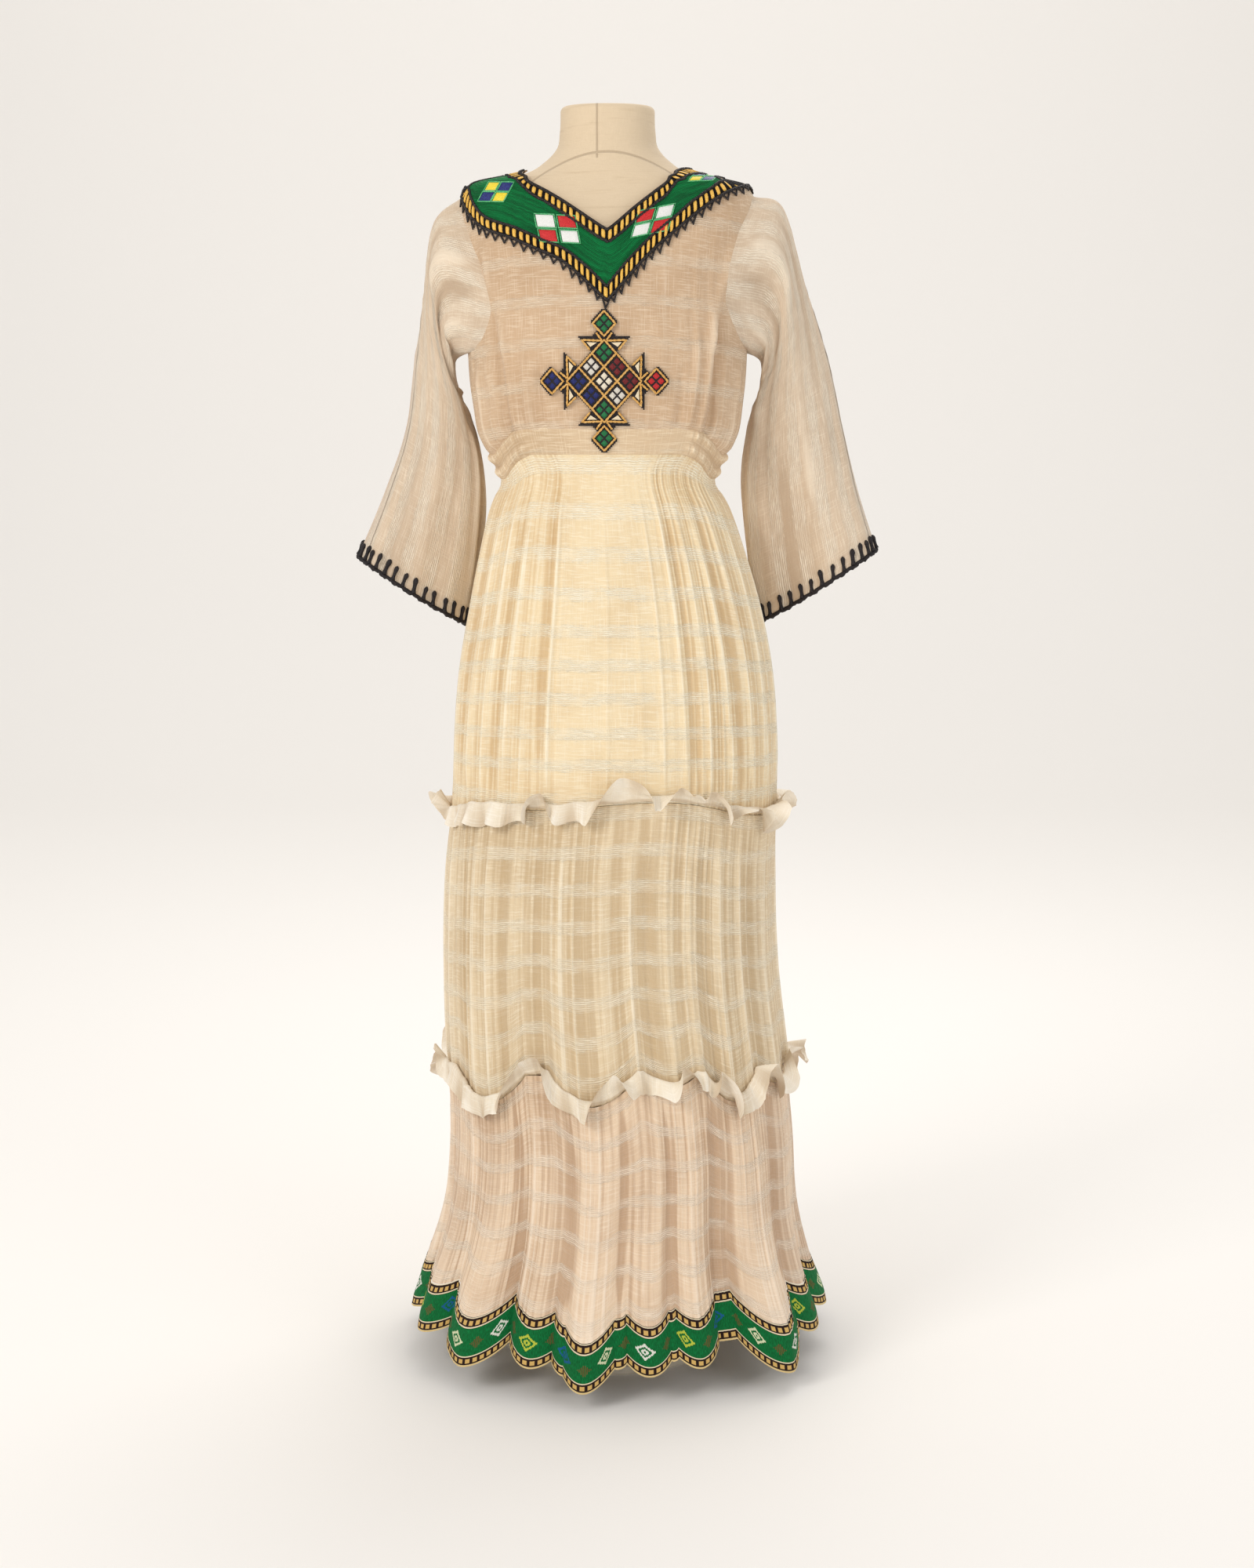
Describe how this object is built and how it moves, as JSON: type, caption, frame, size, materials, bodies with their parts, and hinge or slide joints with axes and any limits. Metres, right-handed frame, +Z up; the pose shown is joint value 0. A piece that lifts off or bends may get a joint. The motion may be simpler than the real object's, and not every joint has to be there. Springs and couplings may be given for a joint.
{
  "type": "habesha kemis dress on a dress form",
  "caption": "Long gauze dress with V neck, embroidered yoke, bell sleeves and tiered skirt, worn on a limbless dress form that stands on a round base.",
  "frame": {"origin": "centre of the underside of the stand's round base, on the floor", "axes": "+Z up along the pole, the front of the dress faces -Y, +X is the wearer's left"},
  "size_m": [0.6366, 0.5013, 1.527],
  "materials": {
    "cream_gauze": "sheer cotton gauze with denser self-coloured bands",
    "ruffle_gauze": "crimped white gauze",
    "green_thread": "close rows of glossy embroidery thread",
    "black_thread": "braided black and gold thread",
    "woven_border": "woven border with small diamonds",
    "form_linen": "plain linen over padding",
    "stand_metal": "cream paint, satin"
  },
  "bodies": {
    "root": {"form_base": "stand_metal", "form_pole": "stand_metal", "form_torso": "form_linen", "bodice_front": "cream_gauze", "neck_yoke_front": "green_thread", "waist_casing_front": "cream_gauze", "skirt_tier_1_front": "cream_gauze", "skirt_tier_2_front": "cream_gauze", "skirt_tier_3_front": "cream_gauze", "hem_border_front": "woven_border", "frill_1_front": "ruffle_gauze", "frill_2_front": "ruffle_gauze", "bodice_back": "cream_gauze", "neck_yoke_back": "green_thread", "waist_casing_back": "cream_gauze", "skirt_tier_1_back": "cream_gauze", "skirt_tier_2_back": "cream_gauze", "skirt_tier_3_back": "cream_gauze", "hem_border_back": "woven_border", "frill_1_back": "ruffle_gauze", "frill_2_back": "ruffle_gauze", "sleeve_left": "cream_gauze", "cuff_edging_left": "black_thread", "sleeve_right": "cream_gauze", "cuff_edging_right": "black_thread", "cross_applique": "black_thread"}
  },
  "joints": []
}
